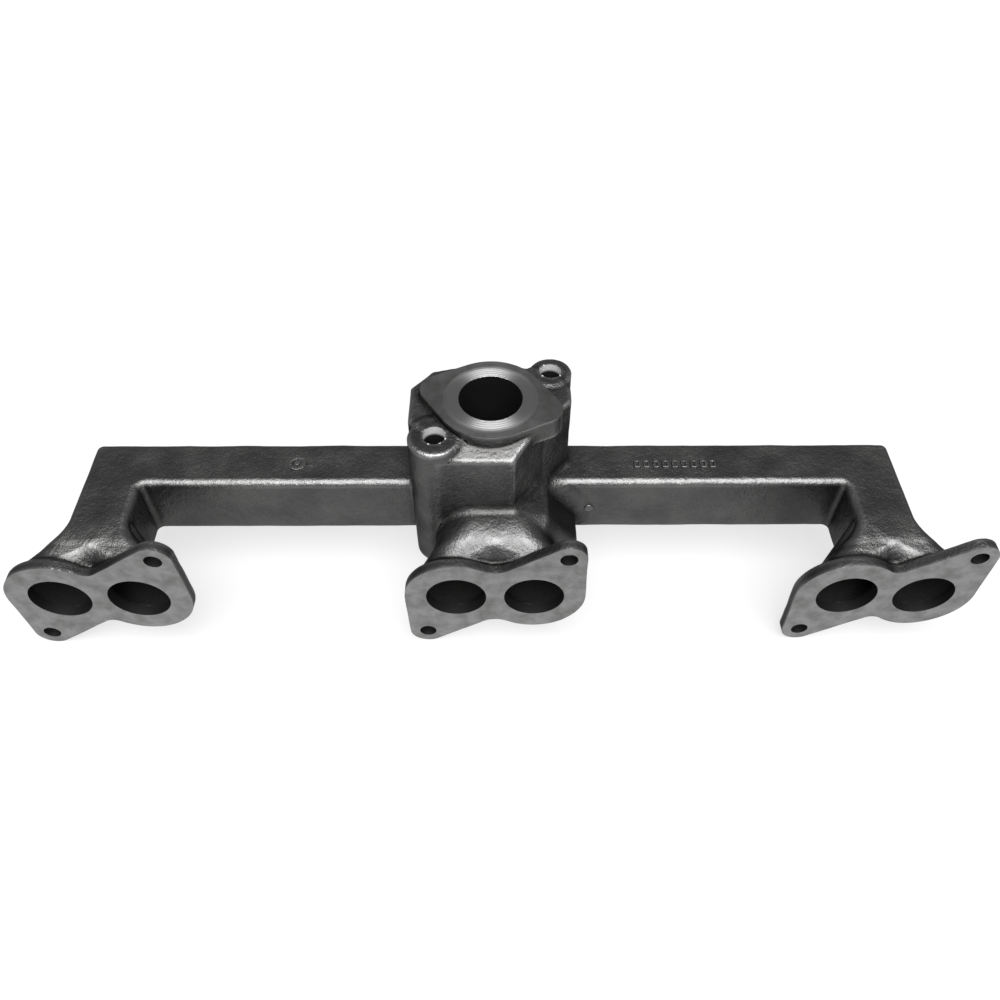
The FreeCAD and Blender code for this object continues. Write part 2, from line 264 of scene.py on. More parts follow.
def polygon(x, y, points, radius):
    """A polygon with its convex corners rounded."""
    corners = inset_polygon(list(points), radius)
    nearest = np.inf
    inside = np.zeros(np.broadcast(x, y).shape, bool)
    for (x0, y0), (x1, y1) in zip(corners, corners[1:] + corners[:1]):
        ex, ey = x1 - x0, y1 - y0
        wx, wy = x - x0, y - y0
        t = np.clip((wx * ex + wy * ey) / (ex * ex + ey * ey), 0, 1)
        nearest = np.minimum(nearest, np.hypot(wx - ex * t, wy - ey * t))
        spans = (y >= y0) != (y >= y1)
        inside ^= spans & ((ex * wy - ey * wx > 0) == (y1 > y0))
    return np.where(inside, -nearest, nearest) - radius


def cast_ripple(x, y, z):
    """The slight unevenness of a sand-cast wall: a few random long waves added up."""
    total = 0.0
    for direction, phase, height in RIPPLES:
        total = total + height * np.sin(x * direction[0] + y * direction[1] + z * direction[2] + phase)
    return total


def make_ripples(count=14, shortest=7.0, longest=45.0, height=0.05, seed=7):
    """The random waves of cast_ripple: longer ones are higher."""
    rng = np.random.default_rng(seed)
    ripples = []
    for _ in range(count):
        direction = rng.normal(size=3)
        length = rng.uniform(shortest, longest)
        wave = direction / np.linalg.norm(direction) * 2 * math.pi / length
        ripples.append((wave, rng.uniform(0, 2 * math.pi), height * length / longest + 0.01))
    return ripples


RIPPLES = make_ripples()


# ---------------------------------------------------------------- the casting's shapes

def collector(x, y, z, wall):
    """The straight box tube and its two forward legs: the outside for a wall of 0, else its passage."""
    reach = ELBOW_HIGH[0] - wall
    back = LOG_HIGH[1] - wall
    legs_y = ELBOW_LOW[1]
    corner = END_CORNER_R - wall * OUTER_CORNER_LOSS
    middle_y = (back + legs_y - LEG_OVERRUN) / 2
    whole = round_rect(x, y - middle_y, reach, (back - legs_y + LEG_OVERRUN) / 2, corner)
    whole = np.maximum(whole, legs_y - y)
    bay_front = LOG_LOW[1] + wall
    bay = round_rect(x, y, ELBOW_LOW[0] + wall, bay_front, BAY_CORNER_R + wall * BAY_CORNER_GAIN)
    middle_z = (LOG_LOW[2] + LOG_HIGH[2]) / 2
    half_z = (LOG_HIGH[2] - LOG_LOW[2]) / 2 - wall
    edge = INNER_EDGE_R if wall else EDGE_R
    return round_intersection(np.maximum(whole, -bay), np.abs(z - middle_z) - half_z, edge)


def necks(x, y, z, centre, section, port_r, back_y, valley=None, lateness=1.0):
    """Two ducts that start as one rounded rectangle at back_y and end as circles at the flange.

    section is (half width, low z, high z, lower corner radius, upper corner radius). With a valley, a
    hood joins the two ducts and dips by that much at the flange.
    """
    half, low, high, foot_r, arch_r = section
    t = np.clip((back_y - y) / (back_y - FLANGE_HIGH[1]), 0, 1)
    t = t ** lateness
    t = np.where(y < FLANGE_HIGH[1], 1.0, t)
    height = z - (low + high) / 2 * (1 - t)
    half_z = (high - low) / 2 * (1 - t) + port_r * t
    half_x = half * (1 - t) + port_r * t
    radius = np.where(height > 0, arch_r, foot_r) * (1 - t) + port_r * t
    pair = []
    for side in (-1, 1):
        pair.append(round_rect(x - centre - side * PORT_OFFSET * t, height, half_x, half_z, radius))
    joined = fillet_union(pair[0], pair[1], NECK_FILLET_R * np.minimum(t * 2, 1) + LEAST_FILLET_R)
    if valley is None:
        return joined
    hood = round_rect(x - centre, height, half_x + PORT_OFFSET * t, half_z, radius)
    return fillet_union(joined, hood + valley * ramp(t, VALLEY_START, 1), NECK_FILLET_R * t + LEAST_FILLET_R)


def flange(x, y, z, centre):
    """A twin-port flange with two diagonal bolt ears."""
    lobes = []
    for side in (-1, 1):
        port = (centre + side * PORT_OFFSET, 0)
        ear = (centre + side * EAR_X, side * EAR_Z)
        lobes.append(drop(x, z, port, LOBE_R, ear, EAR_R))
    outline = fillet_union(lobes[0], lobes[1], NOTCH_R)
    return round_intersection(outline, y - FLANGE_HIGH[1], FLANGE_EDGE_R)


def riser(x, y, z):
    """The upright block round the outlet, with its sloped front shoulder."""
    plan = polygon(x - OUTLET[0], y, RISER_PLAN, RISER_EDGE_R)
    block = round_intersection(plan, z - TOWER_HIGH[2], RISER_TOP_R)
    drop_z = TOWER_HIGH[2] - SHOULDER_LOW_Z
    run = SHOULDER_BACK_Y - RISER_FRONT
    slope = ((z - TOWER_HIGH[2]) * run - (y - SHOULDER_BACK_Y) * drop_z) / math.hypot(run, drop_z)
    block = round_intersection(block, slope, RISER_TOP_R)
    return np.maximum(block, LOG_LOW[2] - z)


def boss_centre(side):
    """The X and Y of the front left boss for side -1, or the rear right one for side 1."""
    return BOLTS[0] + side * BOSS_OFFSET[0], BOLTS[1] + side * BOSS_OFFSET[1]


def bolt_column(x, y, z, side):
    """A round bolt boss down the riser's full height."""
    at_x, at_y = boss_centre(side)
    round_bar = np.hypot(x - at_x, y - at_y) - BOSS_R[side]
    return np.maximum(round_intersection(round_bar, z - BOLTS[2], BOSS_TOP_R), LOG_LOW[2] - z)


def web(x, y, z):
    """The web on the middle duct's right, from the collector forwards."""
    front = -(y - DUCT_LOW[1] + WEB_OVERLAP)
    shape = polygon(x, z, WEB_PLAN, WEB_CORNER_R)
    return np.maximum(round_intersection(shape, front, WEB_FRONT_R), y - LOG_LOW[1] - WEB_OVERLAP)


def outlet_pad(x, y, z):
    """The raised pad round the outlet: a disc with two lobes."""
    u, v = x - OUTLET[0], y - OUTLET[1]
    lobes = []
    for side in (-1, 1):
        lobe = (side * PAD_LOBE[0], side * PAD_LOBE[1])
        lobes.append(drop(u, v, (0, 0), PAD_R, lobe, PAD_LOBE_R))
    outline = np.minimum(lobes[0], lobes[1])
    return np.maximum(outline, PAD_LOW[2] - PAD_ROOT - z)


END_SECTION = ((ELBOW_HIGH[0] - ELBOW_LOW[0]) / 2, LOG_LOW[2], LOG_HIGH[2], EDGE_R, EDGE_R)
DUCT_SECTION = (DUCT_HALF, DUCT_LOW[2] - DUCT_DROP, DUCT_HIGH[2], DUCT_FOOT_R, DUCT_ARCH_R)
INNER_END = (END_SECTION[0] - WALL, LOG_LOW[2] + WALL, LOG_HIGH[2] - WALL, INNER_EDGE_R, INNER_EDGE_R)
INNER_DUCT = (CHAMBER_HALF, LOG_LOW[2] + WALL, CHAMBER_TOP, INNER_EDGE_R, CHAMBER_ARCH_R)
DUCT_BACK_Y = RISER_FRONT - 1.0


def outside(x, y, z):
    """The iron's cast outside, before machining, with its passages still filled."""
    fade = ramp(z, LOG_LOW[2], LOG_LOW[2] + FADE_HEIGHT) + FADE_LEAST
    body = fillet_union(collector(x, y, z, 0.0), riser(x, y, z), BODY_FILLET_R * fade)
    duct = necks(x, y, z, 0.0, DUCT_SECTION, MIDDLE_NECK_R, DUCT_BACK_Y, MIDDLE_VALLEY, MIDDLE_LATENESS)
    duct = np.maximum(duct, y - LOG_LOW[1] - DUCT_OVERLAP)
    duct = fillet_union(duct, web(x, y, z), WEB_FILLET_R)
    duct_fillet = DUCT_FILLET_R + DUCT_FILLET_GROWTH * ramp(y, *DUCT_FILLET_SPAN)
    body = fillet_union(body, duct, duct_fillet * fade)
    for side in (-1, 1):
        body = fillet_union(body, bolt_column(x, y, z, side), COLUMN_FILLET_R * fade)
    body = fillet_union(body, outlet_pad(x, y, z), PAD_FILLET_R)
    # The lining keeps a full wall round the end passages, which change section earlier than the outside.
    for centre in (FLANGE_X[0], FLANGE_X[2]):
        pair = necks(x, y, z, centre, END_SECTION, END_NECK_R, ELBOW_LOW[1], END_VALLEY, END_LATENESS)
        lining = necks(x, y, z, centre, INNER_END, PORT_R, ELBOW_LOW[1]) - WALL
        pair = np.minimum(pair, lining)
        body = np.minimum(body, np.maximum(pair, y - LOG_LOW[1] + NECK_STOP))
    for centre in FLANGE_X:
        body = fillet_union(body, flange(x, y, z, centre), NECK_ROOT_R)
    return body + cast_ripple(x, y, z)


def passages(x, y, z):
    """The gas passages."""
    hollow = collector(x, y, z, WALL)
    for centre in (FLANGE_X[0], FLANGE_X[2]):
        pair = necks(x, y, z, centre, INNER_END, PORT_R, ELBOW_LOW[1])
        hollow = np.minimum(hollow, np.maximum(pair, y - LOG_LOW[1] + NECK_STOP))
    middle = necks(x, y, z, 0.0, INNER_DUCT, PORT_R, DUCT_BACK_Y)
    middle = round_intersection(middle, y - CHAMBER_BACK_Y, CHAMBER_BACK_R)
    bore = np.hypot(x - OUTLET[0], y - OUTLET[1]) - OUTLET_R
    bore = np.maximum(bore, CHAMBER_TOP - BORE_OVERLAP - z)
    return np.minimum(np.minimum(hollow, middle), bore)


def bolt_holes(x, y, z):
    """The round holes in the ears and the bosses."""
    holes = np.inf
    for centre in FLANGE_X:
        for side in (-1, 1):
            hole = np.hypot(x - centre - side * EAR_X, z - side * EAR_Z) - FLANGE_HOLE_R
            holes = np.minimum(holes, np.maximum(hole, y - FLANGE_HIGH[1] - HOLE_OVERRUN))
    for side in (-1, 1):
        at_x, at_y = boss_centre(side)
        holes = np.minimum(holes, np.hypot(x - at_x, y - at_y) - BOSS_HOLE_R)
    return holes


def casting(x, y, z):
    """The finished casting: cast outside, machined planes, passages and holes."""
    iron = np.maximum(outside(x, y, z), -y)
    iron = np.maximum(iron, z - OUTLET[2])
    return np.maximum(iron, -np.minimum(passages(x, y, z), bolt_holes(x, y, z)))


# ---------------------------------------------------------------- meshing

# The shift moves the grids off whole steps, and the slack is how far a vertex may leave its cell. A corner
# is sharp, and a normal found for it is stray, when its cosine with the face's own normal is lower.
GRID_SHIFT = 0.37
CELL_SLACK = 0.05
HALVINGS = 9
SHARP_COS = math.cos(math.radians(20))
STRAY_COS = math.cos(math.radians(35))
INWARDS = 0.3


def gradient(field, points, reach=0.02):
    """Unit normals of a field at some points."""
    slopes = []
    for axis in range(3):
        shift = np.zeros(3)
        shift[axis] = reach
        slopes.append(field(*(points + shift).T) - field(*(points - shift).T))
    normals = np.stack(slopes, 1)
    return normals / np.maximum(np.linalg.norm(normals, axis=1, keepdims=True), 1e-12)


def crossings(field, grid, axes, axis, step):
    """The grid edges along one axis that the surface crosses: index, point, and if the low end is iron."""
    count = grid.shape[axis]
    low = np.take(grid, range(count - 1), axis) < 0
    high = np.take(grid, range(1, count), axis) < 0
    index = np.argwhere(low != high)
    start = np.stack([axes[k][index[:, k]] for k in range(3)], 1)
    iron_low = low[tuple(index.T)]
    near, far = np.zeros(len(index)), np.full(len(index), step)
    for _ in range(HALVINGS):
        middle = (near + far) / 2
        points = start.copy()
        points[:, axis] += middle
        same = (field(*points.T) < 0) == iron_low
        near, far = np.where(same, middle, near), np.where(same, far, middle)
    start[:, axis] += (near + far) / 2
    return index, start, iron_low


def dual_contour(field, low, high, step=STEP):
    """Vertices and quads of field = 0, on one grid that all pieces with the same step share."""
    axes = []
    for lo, hi in zip(low, high):
        first, last = math.floor(lo / step) - 1, math.ceil(hi / step) + 2
        axes.append((np.arange(first, last) + GRID_SHIFT) * step)
    grid = field(axes[0][:, None, None], axes[1][None, :, None], axes[2][None, None, :])
    cells = np.array(grid.shape) - 1
    cell_ids, quads, points_of, normals_of = [], [], [], []
    for axis in range(3):
        side_a, side_b = (axis + 1) % 3, (axis + 2) % 3
        index, points, iron_low = crossings(field, grid, axes, axis, step)
        normals = gradient(field, points)
        ring = []
        for step_a, step_b in ((1, 1), (0, 1), (0, 0), (1, 0)):
            cell = index.copy()
            cell[:, side_a] -= step_a
            cell[:, side_b] -= step_b
            ring.append(np.ravel_multi_index(cell.T, cells, mode="clip"))
        ring = np.stack(ring, 1)
        cell_ids.append(ring)
        quads.append(np.where(iron_low[:, None], ring, ring[:, ::-1]))
        points_of.append(np.repeat(points, 4, axis=0))
        normals_of.append(np.repeat(normals, 4, axis=0))
    ids, inverse = np.unique(np.concatenate(cell_ids).ravel(), return_inverse=True)
    points, normals = np.concatenate(points_of), np.concatenate(normals_of)
    vertices = solve_cells(points, normals, inverse, len(ids))
    corner = np.stack(np.unravel_index(ids, cells), 1)
    lowest = np.stack([axes[k][corner[:, k]] for k in range(3)], 1)
    vertices = np.clip(vertices, lowest - CELL_SLACK * step, lowest + (1 + CELL_SLACK) * step)
    faces = np.searchsorted(ids, np.concatenate(quads))
    return vertices, faces


def solve_cells(points, normals, cell, count, pull=0.02):
    """The point of each cell that lies best on all the tangent planes found on its edges."""
    def total(values):
        return np.bincount(cell, values, count)

    number = total(np.ones(len(cell)))
    centre = np.stack([total(points[:, k]) / number for k in range(3)], 1)
    offset = np.einsum("ij,ij->i", normals, points - centre[cell])
    matrix = np.empty((count, 3, 3))
    right = np.empty((count, 3))
    for row in range(3):
        right[:, row] = total(normals[:, row] * offset)
        for column in range(3):
            matrix[:, row, column] = total(normals[:, row] * normals[:, column])
    matrix += np.eye(3) * pull
    return centre + np.linalg.solve(matrix, right[:, :, None])[:, :, 0]


def corner_normals(field, vertices, faces):
    """Normals of face corners, faces and vertices. At a sharp edge a corner's is taken inside its face."""
    a, b, c, d = (vertices[faces[:, k]] for k in range(4))
    flat = np.cross(c - a, d - b)
    flat /= np.maximum(np.linalg.norm(flat, axis=1, keepdims=True), 1e-12)
    at_vertex = gradient(field, vertices)
    corners = at_vertex[faces]
    sharp = np.einsum("fkj,fj->fk", corners, flat) < SHARP_COS
    centre = (a + b + c + d) / 4
    where, which = np.nonzero(sharp)
    inner = vertices[faces[where, which]] * (1 - INWARDS) + centre[where] * INWARDS
    found = gradient(field, inner)
    stray = np.einsum("ij,ij->i", found, flat[where]) < STRAY_COS
    found[stray] = flat[where][stray]
    corners[where, which] = found
    return corners, flat, at_vertex


def convexity(vertices, normals, reach=2.5):
    """How far the surface bends away on all sides: above 0 on edges, below 0 in hollows."""
    helper = np.where(np.abs(normals[:, 2:3]) < 0.8, [[0.0, 0.0, 1.0]], [[1.0, 0.0, 0.0]])
    across = np.cross(normals, helper)
    across /= np.maximum(np.linalg.norm(across, axis=1, keepdims=True), 1e-12)
    along = np.cross(normals, across)
    total = 0.0
    for side in (across, -across, along, -along):
        total = total + casting(*(vertices + side * reach).T)
    return total / (4 * reach)


def add_piece(name, node, vertices, faces, normals, wear_and_hollow_shade, kinds):
    """A mesh object in metres that stands for a CAD node."""
    mesh = bpy.data.meshes.new(name)
    mesh.from_pydata((vertices * MM).tolist(), [], faces.tolist())
    for material in MATERIALS:
        mesh.materials.append(material)
    mesh.polygons.foreach_set("material_index", kinds.astype(np.int32))
    mesh.polygons.foreach_set("use_smooth", np.ones(len(faces), bool))
    mesh.attributes.new("wear_and_hollow_shade", "FLOAT", "POINT").data.foreach_set("value", wear_and_hollow_shade.astype(np.float32))
    mesh.normals_split_custom_set(normals.reshape(-1, 3).tolist())
    mesh.update()
    piece = bpy.data.objects.new(name, mesh)
    bpy.context.scene.collection.objects.link(piece)
    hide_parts(node)
    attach(piece, "root")


# ---------------------------------------------------------------- materials

PIT_SIZE = 1.7
RING_PITCH = 1.6
RINGS_BRIGHT_R = 24.0
RINGS_DULL_R = 27.0
DRILL_BRIGHT_DEPTH = 3.5
DRILL_SHADE_DEPTH = 5.5


class Shader:
    """A small helper that adds nodes to one material and links them."""

    def __init__(self, name):
        self.material = bpy.data.materials.new(name)
        self.material.use_nodes = True
        self.tree = self.material.node_tree
        self.surface = self.tree.nodes["Principled BSDF"]
        self.place = self.node("ShaderNodeTexCoord").outputs["Object"]

    def node(self, kind, inputs=None, **settings):
        """A new node, with some of its inputs set or linked."""
        made = self.tree.nodes.new(kind)
        for key, value in settings.items():
            setattr(made, key, value)
        for key, value in (inputs or {}).items():
            self.feed(made.inputs[key], value)
        return made

    def feed(self, socket, value):
        """Links an input to another node's output, or sets its value."""
        if isinstance(value, bpy.types.NodeSocket):
            self.tree.links.new(value, socket)
        else:
            socket.default_value = value

    def noise(self, size_mm, detail=3.0, roughness=0.55, stretch=None):
        """Noise from 0 to 1 whose blotches are about size_mm across."""
        place = self.place
        if stretch:
            place = self.node("ShaderNodeMapping", {"Vector": place, "Scale": stretch}).outputs[0]
        scale = 1.0 / (size_mm * MM)
        inputs = {"Vector": place, "Scale": scale, "Detail": detail, "Roughness": roughness}
        return self.node("ShaderNodeTexNoise", inputs).outputs["Fac"]

    def product(self, a, b):
        """Two values multiplied."""
        return self.node("ShaderNodeMath", {0: a, 1: b}, operation="MULTIPLY").outputs[0]

    def spread(self, value, low, high, to_low=0.0, to_high=1.0):
        """Stretches low..high to to_low..to_high, clamped."""
        inputs = {"Value": value, "From Min": low, "From Max": high, "To Min": to_low, "To Max": to_high}
        return self.node("ShaderNodeMapRange", inputs).outputs[0]

    def mix(self, amount, first, second):
        """The first colour at amount 0, the second at 1."""
        return self.node("ShaderNodeMix", {0: amount, 6: first, 7: second}, data_type="RGBA").outputs[2]

    def bump(self, height, depth_mm, normal=None):
        """Bump of a 0 to 1 height, depth_mm deep."""
        inputs = {"Height": height, "Distance": depth_mm * MM, "Strength": 1.0}
        made = self.node("ShaderNodeBump", inputs)
        if normal is not None:
            self.feed(made.inputs["Normal"], normal)
        return made.outputs[0]

    def set(self, **values):
        """Sets or links the surface's inputs, by short names, and gives the material."""
        names = {"color": "Base Color", "rim": "Specular Tint", "turned": "Anisotropic Rotation",
                 "glow": "Emission Color", "glow_level": "Emission Strength"}
        for key, value in values.items():
            self.feed(self.surface.inputs[names.get(key, key.capitalize())], value)
        return self.material


def grey(level, warmth=0.0):
    """A grey with a little more red than blue where warmth is above 0."""
    return (level * (1 + warmth), level, level * (1 - warmth), 1.0)


def cast_material():
    """Raw sand-cast iron: dark and granular, with painted shade in its hollows, rubbed lighter on its edges.
    """
    shader = Shader("cast_iron")
    blotch = shader.noise(24.0, detail=5.0)
    grain = shader.noise(0.9, detail=4.0, roughness=0.65)
    pit_inputs = {"Vector": shader.place, "Scale": 1 / (PIT_SIZE * MM)}
    pits = shader.node("ShaderNodeTexVoronoi", pit_inputs).outputs["Distance"]
    wear_and_hollow_shade = shader.node("ShaderNodeAttribute", attribute_name="wear_and_hollow_shade").outputs["Fac"]
    tone = shader.mix(shader.spread(blotch, 0.35, 0.65), grey(0.09), grey(0.125, 0.015))
    tone = shader.mix(shader.spread(grain, 0.35, 0.7, 0.0, 0.4), tone, grey(0.055))
    # Painted shade: the iron goes darker where the surface curves inwards, in hollows and creases.
    tone = shader.mix(shader.spread(wear_and_hollow_shade, 0.0, -0.25, 0.0, 0.75), tone, grey(0.02, 0.03))
    rubbed = shader.product(shader.spread(wear_and_hollow_shade, 0.05, 0.3), shader.spread(grain, 0.3, 0.55, 0.3, 0.7))
    tone = shader.mix(rubbed, tone, grey(0.30))
    rough = shader.spread(blotch, 0.3, 0.7, 0.34, 0.42)
    normal = shader.bump(pits, 0.10)
    normal = shader.bump(grain, 0.20, normal)
    normal = shader.bump(shader.noise(4.0, detail=2.0), 0.35, normal)
    return shader.set(color=tone, roughness=rough, normal=normal, metallic=1.0, rim=grey(0.3))


def machined_material():
    """Milled iron: lighter, with fine cutter lines and a few stains."""
    shader = Shader("machined_iron")
    lines = shader.noise(0.8, detail=2.0, stretch=(0.05, 1.0, 1.0))
    stain = shader.noise(11.0, detail=6.0, roughness=0.6)
    tone = shader.mix(shader.spread(stain, 0.4, 0.68), grey(0.26), grey(0.16, 0.02))
    rough = shader.spread(stain, 0.35, 0.65, 0.5, 0.62)
    return shader.set(color=tone, roughness=rough, normal=shader.bump(lines, 0.05), metallic=1.0)


def faced_material():
    """The outlet pad's top: oxidised, with bright concentric tool marks near the bore.

    A wave texture's rings are pi / 10 apart at a scale of 1.
    """
    shader = Shader("faced_iron")
    centring = {"Vector": shader.place, "Location": tuple(-OUTLET * MM)}
    place = shader.node("ShaderNodeMapping", centring).outputs[0]
    radius = shader.node("ShaderNodeVectorMath", {0: place}, operation="LENGTH").outputs["Value"]
    inputs = {"Vector": place, "Scale": math.pi / (10 * RING_PITCH * MM), "Distortion": 0.4, "Detail": 1.0}
    rings = shader.node("ShaderNodeTexWave", inputs, wave_type="RINGS", rings_direction="Z").outputs["Fac"]
    bright = shader.spread(radius, RINGS_DULL_R * MM, RINGS_BRIGHT_R * MM)
    stain = shader.noise(9.0, detail=5.0)
    tone = shader.mix(shader.spread(stain, 0.35, 0.65), grey(0.13), grey(0.09, 0.02))
    tone = shader.mix(bright, tone, grey(0.34))
    rough = shader.spread(bright, 0.0, 1.0, 0.55, 0.42)
    depth = shader.product(rings, shader.spread(bright, 0.0, 1.0, 0.2, 1.0))
    normal = shader.bump(depth, 0.10)
    tangent = shader.node("ShaderNodeTangent", direction_type="RADIAL", axis="Z").outputs[0]
    combed = shader.spread(bright, 0.0, 1.0, 0.2, 0.9)
    shader.set(color=tone, roughness=rough, normal=normal, metallic=1.0)
    return shader.set(anisotropic=combed, turned=0.25, tangent=tangent)


def bored_material():
    """Bored iron in the ports, the outlet and the flanges' bolt holes."""
    shader = Shader("bored_iron")
    lines = shader.noise(0.7, detail=2.0)
    tone = shader.mix(lines, grey(0.02), grey(0.04))
    normal = shader.bump(lines, 0.04)
    return shader.set(color=tone, roughness=0.55, normal=normal, metallic=0.9, rim=grey(0.3))


def drilled_material():
    """Drilled iron in the bosses' bolt holes: bright at their mouths, with painted shade that turns them
    near black further down.
    """
    shader = Shader("drilled_iron")
    height = shader.node("ShaderNodeSeparateXYZ", {0: shader.place}).outputs["Z"]
    shade_z, bright = (BOLTS[2] - DRILL_SHADE_DEPTH) * MM, (BOLTS[2] - DRILL_BRIGHT_DEPTH) * MM
    # Painted shade: below the drilled mouth's bright band the walls fade to near black.
    tone = shader.mix(shader.spread(height, shade_z, bright), grey(0.01), grey(0.6))
    return shader.set(color=tone, roughness=0.45, metallic=0.25)


def passage_material():
    """The unmachined walls deep inside the gas passages."""
    shader = Shader("passage_iron")
    grain = shader.noise(1.4, detail=4.0)
    tone = shader.mix(grain, grey(0.006), grey(0.016, 0.03))
    normal = shader.bump(grain, 0.3)
    return shader.set(color=tone, roughness=0.85, normal=normal, metallic=0.6, rim=grey(0.2))


MATERIALS = [
    cast_material(), machined_material(), bored_material(), passage_material(), faced_material(),
    drilled_material(),
]
CAST, MACHINED, BORED, PASSAGE, FACED, DRILLED = range(len(MATERIALS))

# ---------------------------------------------------------------- pieces

# Where the casting is cut into pieces, mostly just beyond the fillets.
FLANGE_CUT_Y = FLANGE_HIGH[1] + 1.5
DUCT_CUT_Y = RISER_FRONT - 2.0
BASE_CUT_Y = LOG_LOW[1] - 10.0
ELBOW_CUT_Y = ELBOW_LOW[1]
ELBOW_CUT_X = ELBOW_LOW[0] - BAY_CORNER_R - 1.0
TOWER_CUT_X = RISER_HALF + 5.6
TOWER_CUT_Z = DUCT_HIGH[2] + 6.0
PAD_CUT_Z = PAD_LOW[2] + 1.3
COLUMN_CUT_MORE = 1.2
FAR = 1000.0

# Room left round the pieces in their meshing grids.
SMALL_ROOM = 1.0
ROOM = 2.0
WIDE_ROOM = 3.0
NECK_ROOM = 6.0
UNDER_ROOM = 7.0
MARK_ROOM = 0.5

# How near a face's middle has to be to a surface or a machined plane that gives it its finish, and how
# squarely it has to face it.
SURFACE_NEAR = 0.25
PLANE_NEAR = 0.05
SQUARELY = 0.9
BORE_FLOOR = CHAMBER_TOP + 4.0


def box_region(low, high):
    """The field of a box; FAR stands for no limit."""
    def field(x, y, z):
        inside = -np.inf
        for value, lo, hi in zip((x, y, z), low, high):
            if lo > -FAR:
                inside = np.maximum(inside, lo - value)
            if hi < FAR:
                inside = np.maximum(inside, value - hi)
        return inside
    return field


def column_region(side):
    """The upright cylinder that holds one bolt column."""
    at_x, at_y = boss_centre(side)

    def field(x, y, z):
        return np.maximum(np.hypot(x - at_x, y - at_y) - BOSS_R[side] - COLUMN_CUT_MORE, z - PAD_CUT_Z)
    return field


def collector_regions():
    """The tubes' and elbows' regions, each with the box to mesh."""
    regions = {}
    for side, name in ((-1, "left"), (1, "right")):
        left, right = sorted((side * TOWER_CUT_X, side * ELBOW_CUT_X))
        regions["log_%s_tube" % name] = (
            box_region((left, ELBOW_CUT_Y, -FAR), (right, FAR, FAR)),
            (left, ELBOW_CUT_Y, LOG_LOW[2] - ROOM),
            (right, LOG_HIGH[1] + ROOM, LOG_HIGH[2] + WIDE_ROOM),
        )
        left, right = sorted((side * FAR, side * ELBOW_CUT_X))
        region = box_region((left, ELBOW_CUT_Y, -FAR), (right, FAR, FAR))
        left, right = sorted((side * (ELBOW_HIGH[0] + ROOM), side * ELBOW_CUT_X))
        regions[name + "_elbow"] = (
            region,
            (left, ELBOW_CUT_Y, LOG_LOW[2] - ROOM),
            (right, LOG_HIGH[1] + ROOM, LOG_HIGH[2] + ROOM),
        )
    return regions


def flange_regions():
    """The regions of the flanges and of the two necks behind each, with the boxes to mesh."""
    regions = {}
    reach = FLANGE_HIGH[0] + ROOM
    high_z = FLANGE_HIGH[2] + ROOM
    for order, (name, centre) in enumerate(zip(("left", "centre", "right"), FLANGE_X)):
        left, right = centre - reach, centre + reach
        regions[name + "_port_flange"] = (
            box_region((left, -FAR, -FAR), (right, FLANGE_CUT_Y, FAR)),
            (left, -SMALL_ROOM, -high_z),
            (right, FLANGE_CUT_Y, high_z),
        )
        back_y = DUCT_CUT_Y if name == "centre" else ELBOW_CUT_Y
        for number, (start, end) in enumerate(((left, centre), (centre, right)), 2 * order + 1):
            regions["port_neck_%d" % number] = (
                box_region((start, FLANGE_CUT_Y, -FAR), (end, back_y, FAR)),
                (start, FLANGE_CUT_Y, -END_NECK_R - NECK_ROOM),
                (end, back_y, TOWER_CUT_Z + ROOM),
            )
    return regions


def riser_regions():
    """The regions of the riser, the middle duct, the bolt columns and the pad, with the boxes to mesh."""
    regions = {}
    low_z = DUCT_LOW[2] - UNDER_ROOM
    back_y = node_box("rear_bolt_column")[1][1] + ROOM
    blocks = {
        "riser_tower": ((-TOWER_CUT_X, DUCT_CUT_Y, TOWER_CUT_Z), (TOWER_CUT_X, FAR, PAD_CUT_Z)),
        "riser_base": ((-TOWER_CUT_X, BASE_CUT_Y, -FAR), (TOWER_CUT_X, FAR, TOWER_CUT_Z)),
        "middle_duct": ((-TOWER_CUT_X, DUCT_CUT_Y, -FAR), (TOWER_CUT_X, BASE_CUT_Y, TOWER_CUT_Z)),
    }
    front, rear = column_region(-1), column_region(1)
    for node, (low, high) in blocks.items():
        region = box_region(low, high)

        def field(x, y, z, region=region):
            return np.maximum(region(x, y, z), -np.minimum(front(x, y, z), rear(x, y, z)))
        regions[node] = (
            field,
            (low[0], low[1], max(low[2], low_z)),
            (high[0], min(high[1], back_y), high[2]),
        )
    for name, side, region in (("front", -1, front), ("rear", 1, rear)):
        x, y = boss_centre(side)
        reach = BOSS_R[side] + COLUMN_CUT_MORE + SMALL_ROOM
        regions[name + "_bolt_column"] = (
            region,
            (x - reach, y - reach, low_z),
            (x + reach, y + reach, PAD_CUT_Z),
        )
    regions["outlet_pad"] = (
        box_region((-FAR, -FAR, PAD_CUT_Z), (FAR, FAR, FAR)),
        (PAD_LOW[0] - WIDE_ROOM, PAD_LOW[1] - WIDE_ROOM, PAD_CUT_Z),
        (PAD_HIGH[0] + WIDE_ROOM, PAD_HIGH[1] + WIDE_ROOM, OUTLET[2] + ROOM),
    )
    return regions


def face_kinds(centres, flat):
    """Which finish each face has, from where it lies."""
    x, y, z = centres.T
    kinds = np.full(len(centres), CAST)
    inner = np.abs(passages(x, y, z)) < SURFACE_NEAR
    kinds[inner] = PASSAGE
    bored = inner & ((y < FLANGE_HIGH[1]) | (z > BORE_FLOOR))
    in_hole = np.abs(bolt_holes(x, y, z)) < SURFACE_NEAR
    kinds[bored | in_hole] = BORED
    kinds[in_hole & (y > RISER_FRONT)] = DRILLED
    ports = (np.abs(y) < PLANE_NEAR) & (flat[:, 1] < -SQUARELY)
    pad = (np.abs(z - OUTLET[2]) < PLANE_NEAR) & (flat[:, 2] > SQUARELY)
    kinds[ports] = MACHINED
    kinds[pad] = FACED
    return kinds


